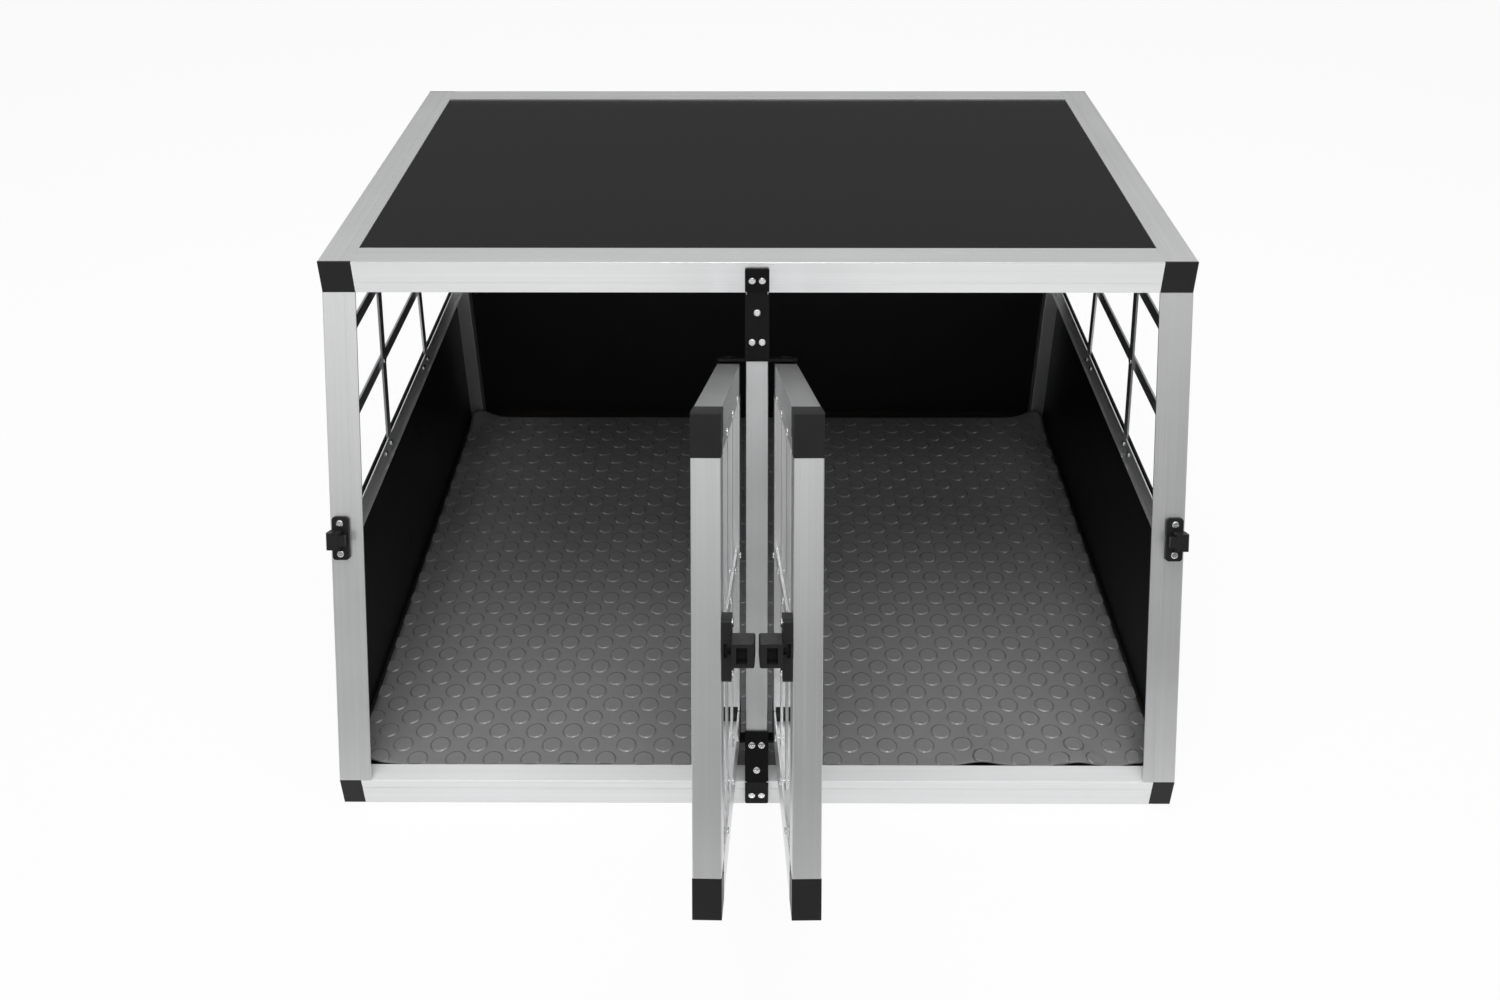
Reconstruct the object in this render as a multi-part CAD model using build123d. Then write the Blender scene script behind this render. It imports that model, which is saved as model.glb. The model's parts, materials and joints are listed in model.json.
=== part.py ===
from build123d import *
import math
import os

# All sizes in millimetres. +Z is up and the doors face -Y.
# The origin lies on the floor, in the middle of the base.

# Overall form: the front leans back between the sill and the roof.
WIDTH = 970.0
HEIGHT = 590.0
BASE_DEPTH = 815.0
ROOF_DEPTH = 580.0

# Aluminium extrusion: a square tube with flat lips in line with its outer faces.
TUBE = 25.0
WALL = 1.6
LIP = 12.0
LIP_THICK = 2.0
EDGE_ROUND = 0.8
GROOVE_WIDTH = 0.8
GROOVE_DEPTH = 0.4

# Gap between pieces that seat on each other.
FIT = 0.1

# Plastic end caps of the side rails.
CAP_THICK = 3.0
CAP_ROUND = 1.2
CAP_PLUG = 18.0

# Panels, trim and mat.
PANEL_THICK = 2.5
ROOF_THICK = 5.0
FLOOR_THICK = 6.0
SIDE_PANEL_TOP = 284.0
TRIM_THICK = 1.4
TRIM_HEIGHT = 22.0
TRIM_LIP = 5.0
MAT_THICK = 4.0
MAT_SIDE_GAP = 5.0
MAT_END_GAP = 2.0
MAT_CORNER = 25.0

# Flat grille bars and their rivets.
BAR_WIDTH = 15.0
BAR_THICK = 2.5
UPPER_BAR_Z = 472.0
LOWER_BAR_Z = 378.0
SIDE_UPRIGHTS = 2
TRIM_RIVET_AHEAD = 26.0
RIVET_RADIUS = 2.0
RIVET_HEAD_RADIUS = 4.0
RIVET_HEAD_HEIGHT = 1.6
RIVET_HEAD_ROUND = 1.2
RIVET_TAIL_RADIUS = 3.2
RIVET_TAIL_HEIGHT = 1.1
RIVET_COLLAR_RADIUS = 3.6

# Doors, placed along the slope of the front.
DOOR_BELOW = 52.0
DOOR_ABOVE = 79.0
DOOR_CENTRE_GAP = 6.5
DOOR_SIDE_GAP = 3.0
DOOR_OPEN_ANGLE = 88.5
DOOR_UPRIGHTS = 3
DOOR_BAR_PITCH = 112.0
CORNER_LEG = 37.5
CORNER_PLUG = 15.0
CORNER_PROUD = 0.15
CORNER_INNER_ROUND = 6.0
CORNER_EDGE_ROUND = 1.5

# Hinge brackets and pins.
BRACKET_WIDTH = 27.0
BRACKET_THICK = 2.5
BRACKET_TAIL = 11.0
BRACKET_ROUND = 2.5
RAIL_TAB = 30.0
SILL_TAB = 34.0
BEND_NOTCH = 4.0
EAR_WIDTH = 90.0
EAR_INSET = 2.5
EAR_GAP = 2.0
EAR_POST_GAP = 0.4
PIN_RADIUS = 4.0
PIN_RUN_CLEARANCE = 0.05
PIN_REACH = 16.0
PIN_BORE_EXTRA = 1.0
PIN_HEAD_RADIUS = 6.5
PIN_HEAD_HEIGHT = 2.0

# Pan-head screws.
SCREW_RADIUS = 1.9
SCREW_LENGTH = 9.0
SCREW_HEAD_RADIUS = 4.1
SCREW_HEAD_HEIGHT = 2.2
SCREW_HEAD_ROUND = 1.4
SCREW_SLOT_LENGTH = 4.8
SCREW_SLOT_WIDTH = 1.2
SCREW_SLOT_DEPTH = 1.2
SCREW_PAIR = 5.6
RAIL_SCREW_RISE = 16.0
UPPER_SINGLE_DROP = 22.5
UPPER_PAIR_RISE = 19.0
LOWER_PAIR_DROP = 2.5
LOWER_SINGLE_RISE = 15.0
SILL_SCREW_DROP = 19.5

# Slide latch of a door and keeper of a post, both at one height on the slope.
LATCH_HEIGHT = 288.0
LATCH_BASE_LENGTH = 54.0
LATCH_BASE_THICK = 8.5
LATCH_BASE_INSET = 0.5
LATCH_BASE_ROUND = 3.0
LATCH_RIVET_REACH = 21.0
SLOT_NECK = 6.4
SLOT_HEAD = 12.4
SLOT_FLOOR = 2.0
SLOT_HEAD_DEPTH = 3.2
SLIDER_GAP = 0.3
SLIDER_LENGTH = 31.0
SLIDER_HEIGHT = 20.0
SLIDER_TOP = 28.0
SLIDER_OVERHANG = 12.0
SLIDER_SHANK = 12.0
SLIDER_ROUND = 1.5
WINDOW_DEPTH = 13.0
WINDOW_HEIGHT = 14.0
WINDOW_LOW = 13.0
WINDOW_TOP = 22.0
KEEPER_WIDTH = 19.0
KEEPER_LENGTH = 50.0
KEEPER_THICK = 5.0
KEEPER_ROUND = 4.0
KEEPER_BLOCK_TOP = 22.0
KEEPER_BLOCK_HEIGHT = 19.5
KEEPER_BLOCK_ROUND = 3.0
KEEPER_EDGE_INSET = 1.0
KEEPER_SCREW_REACH = 17.5
NOSE_GAP = 6.0
NOSE_LENGTH = 6.0
NOSE_SIDE_GAP = 1.0

# Values that follow from the sizes above.
PROFILE = TUBE + LIP
HALF_WIDTH = WIDTH / 2
BACK_Y = BASE_DEPTH / 2
FRONT_Y = -BASE_DEPTH / 2
ROOF_FRONT_Y = BACK_Y - ROOF_DEPTH
SLANT = math.atan2(ROOF_FRONT_Y - FRONT_Y, HEIGHT - 2 * PROFILE)
SLOPE = (HEIGHT - 2 * PROFILE) / math.cos(SLANT)
TUBE_X = HALF_WIDTH - TUBE
CROSS_END = TUBE_X - FIT
PANEL_OUT = HALF_WIDTH - LIP_THICK - FIT
PANEL_IN = PANEL_OUT - PANEL_THICK
BAR_IN = PANEL_OUT - BAR_THICK
UPRIGHT_OUT = BAR_IN - FIT
UPRIGHT_IN = UPRIGHT_OUT - BAR_THICK
TRIM_OUT = UPRIGHT_IN - FIT
TRIM_IN = TRIM_OUT - TRIM_THICK
TRIM_LOW = SIDE_PANEL_TOP - TRIM_HEIGHT
FLOOR_Z = TUBE + FIT
MAT_Z = FLOOR_Z + FLOOR_THICK + FIT

HINGE_X = TUBE / 2 + DOOR_CENTRE_GAP + TUBE / 2
DOOR_LOW = DOOR_BELOW
DOOR_TOP = SLOPE - DOOR_ABOVE
DOOR_NEAR = -TUBE / 2
DOOR_FAR = HALF_WIDTH - PROFILE - DOOR_SIDE_GAP - HINGE_X
DOOR_MID = (DOOR_LOW + DOOR_TOP) / 2
CROSS_OUT = -LIP_THICK - FIT
CROSS_IN = CROSS_OUT - BAR_THICK
DOOR_BAR_OUT = CROSS_IN - FIT
DOOR_BAR_IN = DOOR_BAR_OUT - BAR_THICK
UPPER_EAR = DOOR_TOP + EAR_GAP
LOWER_EAR = DOOR_LOW - EAR_GAP - BRACKET_THICK

FRONT = Plane(
    origin=(0, FRONT_Y, PROFILE),
    x_dir=(1, 0, 0),
    z_dir=(0, -math.cos(SLANT), math.sin(SLANT)),
)
DOOR_CLOSED = FRONT.location * Pos(HINGE_X, 0, 0)
DOOR_SWING = Pos(0, 0, -TUBE / 2) * Rot(0, -DOOR_OPEN_ANGLE, 0) * Pos(0, 0, TUBE / 2)
DOOR_OPEN = DOOR_CLOSED * DOOR_SWING


def block(x, y, z):
    """Box between the two limits given for each axis."""
    size = [high - low for low, high in (x, y, z)]
    centre = [(high + low) / 2 for low, high in (x, y, z)]
    return Pos(*centre) * Box(*size)


def front_y(z, inset=0.0):
    """Depth of the slanted front at a height, moved inward square to the slope."""
    return FRONT_Y + (z - PROFILE) * math.tan(SLANT) + inset / math.cos(SLANT)


def on_front(along, out=0.0):
    """Y and Z of a point on the slope, measured up the slope and out of it."""
    y = FRONT_Y + along * math.sin(SLANT) - out * math.cos(SLANT)
    z = PROFILE + along * math.cos(SLANT) + out * math.sin(SLANT)
    return y, z


def group(pieces):
    """Several separate solids as one node."""
    return Compound([solid for piece in pieces for solid in piece.solids()])


def left(piece):
    """Left-hand twin of a right-hand piece."""
    return mirror(piece, about=Plane.YZ)


def drill(piece, drills):
    """Piece with a set of holes cut through it."""
    for tool in drills:
        piece = piece - tool
    return piece


def drill_hole(place, low, high, radius):
    """Cutting cylinder along the local Z axis of a place."""
    return place * Pos(0, 0, (low + high) / 2) * Cylinder(radius, high - low)


def tube_section(width, height):
    """Hollow rectangular section with its corner at the origin."""
    middle = Pos(width / 2, height / 2)
    outer = middle * RectangleRounded(width, height, EDGE_ROUND)
    return outer - middle * Rectangle(width - 2 * WALL, height - 2 * WALL)


def lip_section(second_lip):
    """Square tube with one or two lips and a fine groove beside each lip."""
    overlap = 2 * EDGE_ROUND
    lip = Pos(TUBE + (LIP - overlap) / 2, LIP_THICK / 2) * Rectangle(LIP + overlap, LIP_THICK)
    groove = Pos(TUBE, 0) * Rectangle(GROOVE_WIDTH, 2 * GROOVE_DEPTH)
    section = tube_section(TUBE, TUBE) + lip - groove
    if second_lip:
        lip = Pos(LIP_THICK / 2, TUBE + (LIP - overlap) / 2) * Rectangle(LIP_THICK, LIP + overlap)
        groove = Pos(0, TUBE) * Rectangle(2 * GROOVE_DEPTH, GROOVE_WIDTH)
        section = section + lip - groove
    return section


def sill_section():
    """Tall closed tube with a ledge behind it that carries the floor."""
    overlap = 2 * EDGE_ROUND
    middle = Pos(TUBE + (LIP - overlap) / 2, TUBE - LIP_THICK / 2)
    groove = Pos(0, TUBE) * Rectangle(2 * GROOVE_DEPTH, GROOVE_WIDTH)
    return tube_section(TUBE, PROFILE) + middle * Rectangle(LIP + overlap, LIP_THICK) - groove


def extrusion(section, corner, across, second, length):
    """Section swept square to its two directions, starting at a corner."""
    run = Vector(*across).cross(Vector(*second))
    return extrude(Plane(origin=corner, x_dir=across, z_dir=run) * section, amount=length)


def top_side_rail():
    start = (HALF_WIDTH, BACK_Y - CAP_THICK - FIT, HEIGHT)
    length = ROOF_DEPTH - 2 * (CAP_THICK + FIT)
    return extrusion(lip_section(True), start, (-1, 0, 0), (0, 0, -1), length)


def top_cross_rail(face_y, inward):
    """Rail between the side rails, cut back at both ends under their lips and caps."""
    start = (inward * CROSS_END, face_y, HEIGHT)
    rail = extrusion(lip_section(True), start, (0, inward, 0), (0, 0, -1), 2 * CROSS_END)
    shoulder = HALF_WIDTH - PROFILE - FIT
    cap_face = face_y + inward * (CAP_THICK + FIT)
    cap_side = tuple(sorted((face_y - inward, cap_face)))
    whole_depth = tuple(sorted((face_y - inward, face_y + inward * (PROFILE + 1))))
    under_lip = (HEIGHT - LIP_THICK - FIT, HEIGHT + 1)
    for ends in ((shoulder, HALF_WIDTH), (-HALF_WIDTH, -shoulder)):
        rail = rail - block(ends, cap_side, (HEIGHT - PROFILE - 1, HEIGHT + 1))
        rail = rail - block(ends, whole_depth, under_lip)
    return rail


def bottom_side_rail():
    start = (HALF_WIDTH, BACK_Y - CAP_THICK - FIT, 0)
    length = BASE_DEPTH - 2 * (CAP_THICK + FIT)
    return extrusion(lip_section(False), start, (0, 0, 1), (-1, 0, 0), length)


def bottom_back_rail():
    start = (-CROSS_END, BACK_Y, 0)
    return extrusion(lip_section(False), start, (0, 0, 1), (0, -1, 0), 2 * CROSS_END)


def door_sill():
    start = (-CROSS_END, FRONT_Y, 0)
    sill = extrusion(sill_section(), start, (0, 1, 0), (0, 0, 1), 2 * CROSS_END)
    bearer_room = TUBE / 2 + FIT
    behind = (FRONT_Y + TUBE, FRONT_Y + PROFILE + 1)
    return sill - block((-bearer_room, bearer_room), behind, (0, TUBE + 1))


def tenoned(post, foot_y, head_y):
    """Post cut to stand between the rails, with a narrow tenon at each end."""
    wide = (0, HALF_WIDTH + 1)
    deep = (FRONT_Y - PROFILE, BACK_Y + PROFILE)
    tenon_x = (TUBE_X + FIT, HALF_WIDTH - LIP_THICK - FIT)
    low, high = PROFILE + FIT, HEIGHT - PROFILE - FIT
    shaft = post & block(wide, deep, (low, high))
    foot = post & block(tenon_x, foot_y, (TUBE + FIT, low))
    head = post & block(tenon_x, head_y, (high, HEIGHT - TUBE - FIT))
    return shaft + foot + head


def front_post():
    spare = PROFILE
    y, z = on_front(SLOPE + spare)
    inward = (0, math.cos(SLANT), -math.sin(SLANT))
    post = extrusion(lip_section(True), (HALF_WIDTH, y, z), (-1, 0, 0), inward, SLOPE + 2 * spare)
    foot_y = (FRONT_Y + CAP_THICK + FIT, 0)
    head_y = (ROOF_FRONT_Y + CAP_THICK + FIT, BACK_Y)
    return tenoned(post, foot_y, head_y)


def back_post():
    start = (HALF_WIDTH, BACK_Y, 0)
    post = extrusion(lip_section(True), start, (-1, 0, 0), (0, -1, 0), HEIGHT)
    end_y = (0, BACK_Y - CAP_THICK - FIT)
    return tenoned(post, end_y, end_y)


def centre_post():
    """Square tube on the slope, between the sill and the top front rail."""
    spare = PROFILE
    section = Pos(-TUBE / 2, 0) * tube_section(TUBE, TUBE)
    y, z = on_front(SLOPE + spare)
    inward = (0, math.cos(SLANT), -math.sin(SLANT))
    post = extrusion(section, (0, y, z), (-1, 0, 0), inward, SLOPE + 2 * spare)
    wide = (-TUBE, TUBE)
    low, high = PROFILE + FIT, HEIGHT - PROFILE - FIT
    shaft = post & block(wide, (FRONT_Y - PROFILE, BACK_Y), (low, high))
    behind_lip = (ROOF_FRONT_Y + LIP_THICK + FIT, BACK_Y)
    return shaft + (post & block(wide, behind_lip, (high, HEIGHT - TUBE - FIT)))


def floor_bearer():
    start = (-TUBE / 2, FRONT_Y + TUBE + FIT, 0)
    length = BASE_DEPTH - 2 * (TUBE + FIT)
    return extrusion(tube_section(TUBE, TUBE), start, (0, 0, 1), (1, 0, 0), length)


def end_cap(face_y, inward, x_low, z_limits, tube_z):
    """Square cap on the end of a side rail, with a plug inside its tube."""
    back_y = face_y + inward * CAP_THICK
    plate = block((x_low, HALF_WIDTH), tuple(sorted((face_y, back_y))), z_limits)
    order = Axis.Y if inward > 0 else -Axis.Y
    plate = fillet(plate.faces().sort_by(order)[0].edges(), CAP_ROUND)
    reach = (TUBE - 2 * WALL) / 2 - FIT
    middle = HALF_WIDTH - TUBE / 2
    plug_y = tuple(sorted((back_y - inward * CAP_THICK / 2, back_y + inward * CAP_PLUG)))
    plug = block((middle - reach, middle + reach), plug_y, (tube_z - reach, tube_z + reach))
    return plate + plug


def top_end_caps():
    z_limits = (HEIGHT - PROFILE, HEIGHT)
    ends = ((ROOF_FRONT_Y, 1), (BACK_Y, -1))
    x_low = HALF_WIDTH - PROFILE
    caps = [end_cap(y, inward, x_low, z_limits, HEIGHT - TUBE / 2) for y, inward in ends]
    return group(caps + [left(cap) for cap in caps])


def bottom_end_caps():
    ends = ((FRONT_Y, 1), (BACK_Y, -1))
    caps = [end_cap(y, inward, TUBE_X, (0, PROFILE), TUBE / 2) for y, inward in ends]
    return group(caps + [left(cap) for cap in caps])


def roof_panel():
    depth = (ROOF_FRONT_Y + TUBE + FIT, BACK_Y - TUBE - FIT)
    top = HEIGHT - LIP_THICK - FIT
    return block((-CROSS_END, CROSS_END), depth, (top - ROOF_THICK, top))


def back_panel():
    """Sheet inside the lips of the back frame, notched below the top end caps."""
    face = BACK_Y - LIP_THICK - FIT
    height = (TUBE + FIT, HEIGHT - TUBE - FIT)
    panel = block((-CROSS_END, CROSS_END), (face - PANEL_THICK, face), height)
    shoulder = HALF_WIDTH - PROFILE - FIT
    for ends in ((shoulder, HALF_WIDTH), (-HALF_WIDTH, -shoulder)):
        panel = panel - block(ends, (0, BACK_Y), (HEIGHT - PROFILE - FIT, HEIGHT))
    return panel


def floor_panel():
    """Board on the rails, notched round the back posts."""
    side = PANEL_IN - FIT
    back = BACK_Y - LIP_THICK - PANEL_THICK - 2 * FIT
    height = (FLOOR_Z, FLOOR_Z + FLOOR_THICK)
    panel = block((-side, side), (FRONT_Y + TUBE + FIT, back), height)
    post_face = BACK_Y - TUBE - FIT
    for ends in ((CROSS_END, HALF_WIDTH), (-HALF_WIDTH, -CROSS_END)):
        panel = panel - block(ends, (post_face, BACK_Y), (0, PROFILE))
    return panel


def floor_mat():
    side = PANEL_IN - MAT_SIDE_GAP
    front = FRONT_Y + TUBE + MAT_END_GAP
    back = BACK_Y - TUBE - MAT_END_GAP
    mat = block((-side, side), (front, back), (MAT_Z, MAT_Z + MAT_THICK))
    corners = mat.edges().filter_by(Axis.Z).group_by(Axis.Y)[0]
    return fillet(corners, MAT_CORNER)


def side_sheet(x, z):
    """Flat side piece between the front post's tube and the back post's tube."""
    back = BACK_Y - TUBE - FIT
    low, high = z
    inset = TUBE + FIT
    outline = Polyline(
        (front_y(low, inset), low), (front_y(high, inset), high), (back, high), (back, low), close=True
    )
    place = Plane(origin=(x[0], 0, 0), x_dir=(0, 1, 0), z_dir=(1, 0, 0))
    return extrude(place * make_face(outline), amount=x[1] - x[0])


def upright_y(index, z):
    """Depth of the middle of a side upright, spaced evenly between the posts."""
    back = BACK_Y - TUBE
    share = (index + 1) / (SIDE_UPRIGHTS + 1)
    return back + (front_y(z, TUBE) - back) * share


def side_upright(index):
    """Leaning flat bar inside the long bars, its foot between the side panel and the trim."""
    low = TRIM_LOW
    high = HEIGHT - TUBE - FIT
    half = BAR_WIDTH / 2
    outline = Polyline(
        (upright_y(index, low) - half, low),
        (upright_y(index, low) + half, low),
        (upright_y(index, high) + half, high),
        (upright_y(index, high) - half, high),
        close=True,
    )
    place = Plane(origin=(UPRIGHT_IN, 0, 0), x_dir=(0, 1, 0), z_dir=(1, 0, 0))
    return extrude(place * make_face(outline), amount=BAR_THICK)


def panel_trim():
    """Angle along the top of the side panel, its short leg at the bottom turned inward."""
    flange = side_sheet((TRIM_IN, TRIM_OUT), (TRIM_LOW, SIDE_PANEL_TOP))
    lip = side_sheet((TRIM_IN - TRIM_LIP, TRIM_OUT), (TRIM_LOW, TRIM_LOW + TRIM_THICK))
    return flange + lip


def rivet(place, head, tail, collars=(), formed=True):
    """Rivet along the local Z axis of a place, head towards +Z."""
    head = head + FIT
    dome = Pos(0, 0, RIVET_HEAD_HEIGHT / 2) * Cylinder(RIVET_HEAD_RADIUS, RIVET_HEAD_HEIGHT)
    dome = fillet(dome.edges().sort_by(Axis.Z)[-1], RIVET_HEAD_ROUND)
    body = drill_hole(place, tail, head, RIVET_RADIUS) + place * Pos(0, 0, head) * dome
    if formed:
        seat = tail - FIT
        body = body + drill_hole(place, seat, tail, RIVET_RADIUS)
        body = body + drill_hole(place, seat - RIVET_TAIL_HEIGHT, seat, RIVET_TAIL_RADIUS)
    for low, high in collars:
        body = body + drill_hole(place, low, high, RIVET_COLLAR_RADIUS)
    return body


def inward_at(y, z):
    """Place whose local Z runs from the side wall toward the middle of the crate."""
    return Plane(origin=(0, y, z), x_dir=(0, -1, 0), z_dir=(-1, 0, 0)).location


def side_rivet_places():
    """Place, head, tail, collars and formed tail of every rivet of the right side."""
    flush = -HALF_WIDTH
    bar_layer = (-PANEL_OUT, -BAR_IN)
    upright_layer = (-UPRIGHT_OUT, -UPRIGHT_IN)
    lip_middle = TUBE + LIP / 2
    rivets = []
    for z in (UPPER_BAR_Z, LOWER_BAR_Z):
        for y in (front_y(z, lip_middle), BACK_Y - lip_middle):
            rivets.append((inward_at(y, z), -BAR_IN, flush, (), False))
        for index in range(SIDE_UPRIGHTS):
            place = inward_at(upright_y(index, z), z)
            rivets.append((place, -UPRIGHT_IN, -PANEL_OUT, (), True))
    rail_z = HEIGHT - lip_middle
    trim_z = TRIM_LOW + TRIM_HEIGHT / 2
    for index in range(SIDE_UPRIGHTS):
        place = inward_at(upright_y(index, rail_z), rail_z)
        rivets.append((place, -UPRIGHT_IN, flush, (bar_layer,), False))
        place = inward_at(upright_y(index, trim_z), trim_z)
        rivets.append((place, -TRIM_IN, -PANEL_OUT, (), True))
        place = inward_at(upright_y(index, trim_z) - TRIM_RIVET_AHEAD, trim_z)
        rivets.append((place, -TRIM_IN, -PANEL_OUT, (upright_layer,), True))
    return rivets


def side_drills():
    return [drill_hole(place, -HALF_WIDTH - 1, 0, RIVET_RADIUS + FIT) for place, *_ in side_rivet_places()]


def screw(place, head):
    """Pan-head screw along the local Z axis of a place, with a cross recess."""
    pan = Pos(0, 0, SCREW_HEAD_HEIGHT / 2) * Cylinder(SCREW_HEAD_RADIUS, SCREW_HEAD_HEIGHT)
    pan = fillet(pan.edges().sort_by(Axis.Z)[-1], SCREW_HEAD_ROUND)
    slot = Pos(0, 0, SCREW_HEAD_HEIGHT) * Box(SCREW_SLOT_LENGTH, SCREW_SLOT_WIDTH, 2 * SCREW_SLOT_DEPTH)
    pan = pan - slot - Rot(0, 0, 90) * slot
    return drill_hole(place, head - SCREW_LENGTH, head, SCREW_RADIUS) + place * Pos(0, 0, head) * pan


def screw_drill(place):
    return drill_hole(place, -SCREW_LENGTH - 1, SCREW_LENGTH, SCREW_RADIUS + FIT)


def slope_place(x, along):
    """Place on the slope whose local Z points out of it."""
    return FRONT.location * Pos(x, along, 0)


def face_place(x, y, z):
    """Place on an upright rail face whose local Z points to the front."""
    return Plane(origin=(x, y, z), x_dir=(1, 0, 0), z_dir=(0, -1, 0)).location


def bracket_places():
    """Screw places of the upper and the lower hinge bracket."""
    rail_z = HEIGHT - PROFILE + RAIL_SCREW_RISE
    upper_pair = UPPER_EAR + BRACKET_THICK + UPPER_PAIR_RISE
    lower_pair = LOWER_EAR - LOWER_PAIR_DROP
    upper = [slope_place(0, SLOPE - UPPER_SINGLE_DROP)]
    lower = [slope_place(0, LOWER_SINGLE_RISE)]
    for x in (-SCREW_PAIR, SCREW_PAIR):
        upper.append(face_place(x, ROOF_FRONT_Y, rail_z))
        upper.append(slope_place(x, upper_pair))
        lower.append(face_place(x, FRONT_Y, PROFILE - SILL_SCREW_DROP))
        lower.append(slope_place(x, lower_pair))
    return upper, lower


def keeper_places():
    """Screw places of the right-hand keeper."""
    middle = HALF_WIDTH - TUBE / 2
    return [slope_place(middle, LATCH_HEIGHT + reach) for reach in (-KEEPER_SCREW_REACH, KEEPER_SCREW_REACH)]


def bent_plate(bend_along, slope_end, tab_end):
    """Sheet that follows the slope and an upright rail face, folded where they meet."""
    bend = on_front(bend_along)
    tab_y = bend[0]
    thick = FIT + BRACKET_THICK

    def fold(gap):
        return tab_y - gap, bend[1] + gap * math.tan(SLANT / 2)

    outline = Polyline(
        on_front(slope_end, FIT),
        fold(FIT),
        (tab_y - FIT, tab_end),
        (tab_y - thick, tab_end),
        fold(thick),
        on_front(slope_end, thick),
        close=True,
    )
    start = Plane(origin=(-BRACKET_WIDTH / 2, 0, 0), x_dir=(0, 1, 0), z_dir=(1, 0, 0))
    plate = extrude(start * make_face(outline), amount=BRACKET_WIDTH)
    rising = tab_end > bend[1]
    tab_edges = plate.edges().filter_by(Axis.Y).group_by(Axis.Z)[-1 if rising else 0]
    plate = fillet(tab_edges, BRACKET_ROUND)
    for x in (-BRACKET_WIDTH / 2, BRACKET_WIDTH / 2):
        plate = plate - Pos(x, *bend) * Box(BEND_NOTCH, 4 * BRACKET_THICK, BEND_NOTCH)
    return plate


def ear(along):
    """Plate square to the slope that carries one pin of each door."""
    half = EAR_WIDTH / 2
    out = FIT + BRACKET_THICK
    plate = block((-half, half), (along, along + BRACKET_THICK), (-TUBE + EAR_INSET, out))
    corners = plate.edges().filter_by(Axis.Y)
    plate = fillet(corners, BRACKET_ROUND)
    room = TUBE / 2 + EAR_POST_GAP
    plate = plate - block((-room, room), (along - 1, along + BRACKET_THICK + 1), (-2 * TUBE, FIT))
    for x in (-HINGE_X, HINGE_X):
        hole = Plane(origin=(x, along, -TUBE / 2), x_dir=(1, 0, 0), z_dir=(0, 1, 0)).location
        plate = plate - drill_hole(hole, -1, BRACKET_THICK + 1, PIN_RADIUS + FIT)
    return FRONT.location * plate


def upper_hinge_bracket():
    plate = bent_plate(SLOPE, UPPER_EAR, HEIGHT - PROFILE + RAIL_TAB)
    return drill(plate + ear(UPPER_EAR), [screw_drill(place) for place in bracket_places()[0]])


def lower_hinge_bracket():
    plate = bent_plate(0, LOWER_EAR + BRACKET_THICK + BRACKET_TAIL, PROFILE - SILL_TAB)
    return drill(plate + ear(LOWER_EAR), [screw_drill(place) for place in bracket_places()[1]])


def hinge_pin(along, towards):
    """Headed pin through an ear, reaching into the door beyond it."""
    head_face = along + BRACKET_THICK if towards < 0 else along
    axis = Plane(origin=(HINGE_X, head_face, -TUBE / 2), x_dir=(1, 0, 0), z_dir=(0, towards, 0))
    reach = BRACKET_THICK + EAR_GAP + PIN_REACH
    shank = drill_hole(axis.location, -FIT, reach, PIN_RADIUS)
    head = drill_hole(axis.location, -FIT - PIN_HEAD_HEIGHT, -FIT, PIN_HEAD_RADIUS)
    return FRONT.location * (shank + head)


def hinge_pins():
    pins = [hinge_pin(UPPER_EAR, -1), hinge_pin(LOWER_EAR, 1)]
    return group(pins + [left(pin) for pin in pins])


def slider_end():
    """Place of the resting slider's tip across the closed front."""
    return HINGE_X + DOOR_FAR + SLIDER_OVERHANG


def keeper():
    """Foot on the post's front with a block and a nose that points at the door."""
    middle = HALF_WIDTH - TUBE / 2
    half = KEEPER_LENGTH / 2
    along = (LATCH_HEIGHT - half, LATCH_HEIGHT + half)
    foot = block((middle - KEEPER_WIDTH / 2, middle + KEEPER_WIDTH / 2), along, (FIT, KEEPER_THICK))
    foot = fillet(foot.edges().filter_by(Axis.Z), KEEPER_ROUND)
    tip = slider_end() + NOSE_GAP
    high = KEEPER_BLOCK_HEIGHT / 2
    tall = (LATCH_HEIGHT - high, LATCH_HEIGHT + high)
    across = (tip + NOSE_LENGTH, HALF_WIDTH - KEEPER_EDGE_INSET)
    riser = block(across, tall, (KEEPER_THICK - 1, KEEPER_BLOCK_TOP))
    riser = fillet(riser.edges().filter_by(Axis.Y).group_by(Axis.Z)[-1], KEEPER_BLOCK_ROUND)
    nose_half = WINDOW_HEIGHT / 2 - NOSE_SIDE_GAP
    nose_z = (WINDOW_LOW + NOSE_SIDE_GAP, WINDOW_TOP - NOSE_SIDE_GAP)
    nose_along = (LATCH_HEIGHT - nose_half, LATCH_HEIGHT + nose_half)
    nose = block((tip, tip + 2 * NOSE_LENGTH), nose_along, nose_z)
    nose = fillet(nose.faces().sort_by(Axis.X)[0].edges(), NOSE_SIDE_GAP)
    return drill(FRONT.location * (foot + riser + nose), [screw_drill(place) for place in keeper_places()])


def frame_screws():
    bracket_head = FIT + BRACKET_THICK + FIT
    upper, lower = bracket_places()
    screws = [screw(place, bracket_head) for place in upper + lower]
    keeper_screws = [screw(place, KEEPER_THICK + FIT) for place in keeper_places()]
    return group(screws + keeper_screws + [left(piece) for piece in keeper_screws])


# The door pieces below lie in the closed door's own axes: X runs from the hinge
# axis to the latch edge, Y runs up the slope and Z points out of the crate.


def door_bar_x():
    """Middles of the door's uprights, a pitch apart about the middle of the door."""
    middle = (DOOR_NEAR + DOOR_FAR) / 2
    first = middle - DOOR_BAR_PITCH * (DOOR_UPRIGHTS - 1) / 2
    return [first + index * DOOR_BAR_PITCH for index in range(DOOR_UPRIGHTS)]


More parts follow.
